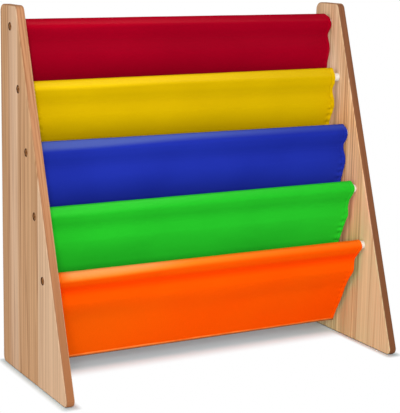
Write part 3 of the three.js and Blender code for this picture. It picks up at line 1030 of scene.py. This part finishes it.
binding = {
    "height": 0.0046, "thickness": 0.0006,
    "bend": 0.4,  # share of the height where the tape begins to bend
    "turn": (0.0015, 0.0001),  # how far its turn lies below the foot, and in from its faces
    "lowest": 0.0022, "overhang": 0.0003, "wave": 0.0005, "columns": 150,
    "colour": paint(250, 134, 56), "dull": paint(234, 118, 44), "dullFade": (0.35, 0.7),
    # from this far above the foot to this far below it the tape darkens to its fold, in painted
    # shade where it turns under
    "foldShade": paint(112, 74, 48), "foldSoft": (0.0026, 0.0024),
    "roughness": 0.6, "gloss": 0.04, "ribDepth": 0.00008,
}


def bindingFinish():
    finish = Finish("foot_binding")
    here = finish.here()
    x, z = finish.split(here)[::2]
    rib = (x * 2600).only("SINE")
    cloud = finish.speckle(here, 90.0, 3.0)
    colour = finish.blend(cloud.between(*binding["dullFade"]), binding["colour"], binding["dull"])
    # painted shade on the tape's turned-under lower edge
    above, below = binding["foldSoft"]
    towardsFoldShade = 1 - z.between(backingFoot.y - below, backingFoot.y + above)
    finish.set(Base_Color=finish.blend(towardsFoldShade, colour, binding["foldShade"]))
    finish.set(Roughness=binding["roughness"] + cloud * 0.1, Specular_IOR_Level=binding["gloss"])
    finish.bump(rib, binding["ribDepth"], 0.6)
    return finish.material


def makeBinding():
    down, forward = backingHang["down"], backingHang["forward"]
    # middle line of the tape: down the front of the pocket's cloth, round the foot and up the back
    front = sling["layerGap"] + sling["thickness"] / 2 + binding["thickness"]
    back = -sling["thickness"] / 2 - binding["thickness"]
    turn, inwards = binding["turn"]
    top, bend = -binding["height"], -binding["height"] * binding["bend"]
    outline = [
        (top, front), (bend, front), (turn, front - inwards),
        (binding["lowest"], (front + back) / 2),
        (turn, back + inwards), (bend, back), (top, back),
    ]
    rows = len(outline) - 1
    bm = bmesh.new()
    bmesh.ops.create_grid(bm, x_segments=binding["columns"], y_segments=rows, size=1)
    pocket = grids["orange_pocket"]
    leftX = pocket[0][-1].place.x - binding["overhang"]
    rightX = pocket[-1][-1].place.x + binding["overhang"]
    for vertex in bm.verts:
        share = (vertex.co.x + 1) / 2
        drop, ahead = outline[round((vertex.co.y + 1) / 2 * rows)]
        x = leftX + (rightX - leftX) * share
        if drop < 0:
            drop += binding["wave"] * drift(x * 38.0, 0.0, 2.0)
            drop += binding["wave"] * 0.5 * drift(x * 140.0, ahead * 90.0, 7.0)
        point = backingFoot + down * drop + forward * ahead
        vertex.co = Vector((x, point.x, point.y))
    for face in bm.faces:
        face.smooth = True
    piece = finishObject("foot_binding", bm, bindingFinish())
    giveWall(piece, binding["thickness"])
    return piece


footBinding = makeBinding()
for name, looks in cloths.items():
    stitches = makeStitches(name, looks)
print("stitches and foot binding made")


# Floor, background and plain soft light

studio = {
    "floorSize": 30.0,
    "floorDrop": 0.0002,
    "floorGrey": (0.76, 0.85, 0.87, 1),
    # where the sling's shadow lies, and how far round it the floor turns plain white
    "underSling": {"middle": (0.02, 0.105), "half": (0.27, 0.055)}, "shadowReach": (0.0, 0.056),
    # the same for a board's foot: its middle, half thickness and half depth
    "underBoard": (0.306, 0.0075, 0.134), "footReach": (0.001, 0.013),
    "ambient": 0.52,
    "lamps": {
        "front": {"place": (-1.38, -2.7, 1.15), "size": (0.9, 1.6), "watts": 66},
        "left": {"place": (-2.9, -0.6, 0.8), "size": (1.6, 1.6), "watts": 26},
        "sleeve_shine": {"place": (0.85, -1.1, 2.1), "size": (1.5, 1.6), "watts": 85},
    },
    "aim": (0, 0, 0.3),
    "glossOnly": ("sleeve_shine",),  # lights only the gloss of the sleeves
}


def makeFloor():
    bm = bmesh.new()
    bmesh.ops.create_grid(bm, x_segments=2, y_segments=2, size=studio["floorSize"])
    mesh = asMesh("floor", bm)
    floor = bpy.data.objects.new("floor", mesh)
    floor.location.z = -studio["floorDrop"]
    scene.collection.objects.link(floor)

    finish = Finish("floor_paper")
    x, y = finish.split(finish.here())[:2]

    def farFrom(acrossX, acrossY):
        ways = finish.point(acrossX.atLeast(0.0), acrossY.atLeast(0.0), 0.0)
        return finish.node("ShaderNodeVectorMath", {"operation": "LENGTH"}, {0: ways}, "Value")

    middle, half = studio["underSling"]["middle"], studio["underSling"]["half"]
    fromSling = farFrom(abs(x - middle[0]) - half[0], abs(y - middle[1]) - half[1])
    boardX, halfBoard, halfFoot = studio["underBoard"]
    fromBoard = farFrom(abs(abs(x) - boardX) - halfBoard, abs(y) - halfFoot)
    away = fromSling.between(*studio["shadowReach"]) * fromBoard.between(*studio["footReach"])
    finish.set(Base_Color=studio["floorGrey"], Roughness=1.0, Specular_IOR_Level=0.0)
    white = finish.node("ShaderNodeEmission", inputs={"Color": (1, 1, 1, 1), "Strength": 1.0})
    layers = {0: away * finish.seenRays(), 1: finish.shaded(), 2: white}
    finish.show(finish.node("ShaderNodeMixShader", inputs=layers))
    mesh.materials.append(finish.material)


def makeBackground():
    world = bpy.data.worlds.new("studio")
    nodes = Nodes(world)
    levels = {"Value": nodes.seenRays(), "To Min": studio["ambient"], "To Max": 1.0}
    level = nodes.node("ShaderNodeMapRange", inputs=levels)
    white = nodes.node("ShaderNodeBackground", inputs={"Color": (1, 1, 1, 1), "Strength": level})
    nodes.fill(nodes.tree.nodes.new("ShaderNodeOutputWorld").inputs["Surface"], white)
    scene.world = world


def makeLamps():
    for name, lamp in studio["lamps"].items():
        light = bpy.data.lights.new(name, "AREA")
        light.shape = "RECTANGLE"
        light.size, light.size_y = lamp["size"]
        light.energy = lamp["watts"]
        holder = bpy.data.objects.new(name, light)
        holder.location = lamp["place"]
        aim = Vector(studio["aim"]) - Vector(lamp["place"])
        holder.rotation_euler = aim.to_track_quat("-Z", "Y").to_euler()
        holder.visible_diffuse = name not in studio["glossOnly"]
        scene.collection.objects.link(holder)


makeFloor()
makeBackground()
makeLamps()
scene.view_settings.view_transform = "Standard"
print("studio made")
